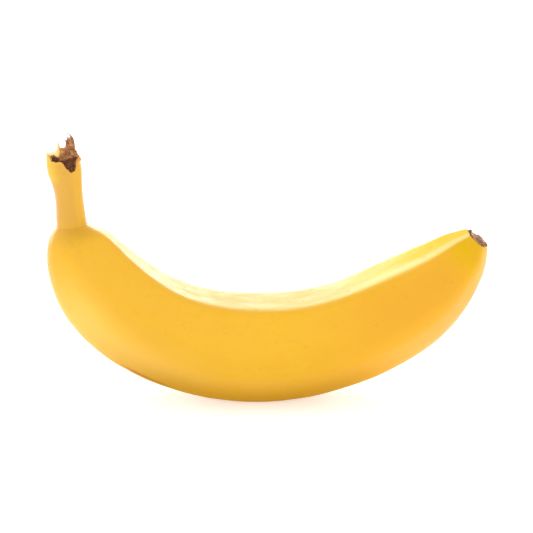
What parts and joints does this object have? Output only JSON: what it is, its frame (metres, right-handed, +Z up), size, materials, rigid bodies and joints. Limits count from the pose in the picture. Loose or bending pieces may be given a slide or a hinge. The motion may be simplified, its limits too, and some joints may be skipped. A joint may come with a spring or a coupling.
{
  "type": "banana",
  "caption": "Ripe yellow dessert banana standing on its back, curved upward, with a torn stem at one end and a small dry blossom scar at the other.",
  "frame": {"origin": "centre of the fruit's box in plan, on the surface it stands on", "axes": "+X from the stem towards the blossom end, along the fruit's longest extent; +Y across the fruit, its shortest extent; +Z up, towards the hollow side of the bend"},
  "size_m": [0.1596, 0.039, 0.0969],
  "materials": {
    "banana_skin": "smooth waxy peel with a soft satin sheen"
  },
  "bodies": {
    "root": {"banana": "banana_skin"}
  },
  "joints": []
}
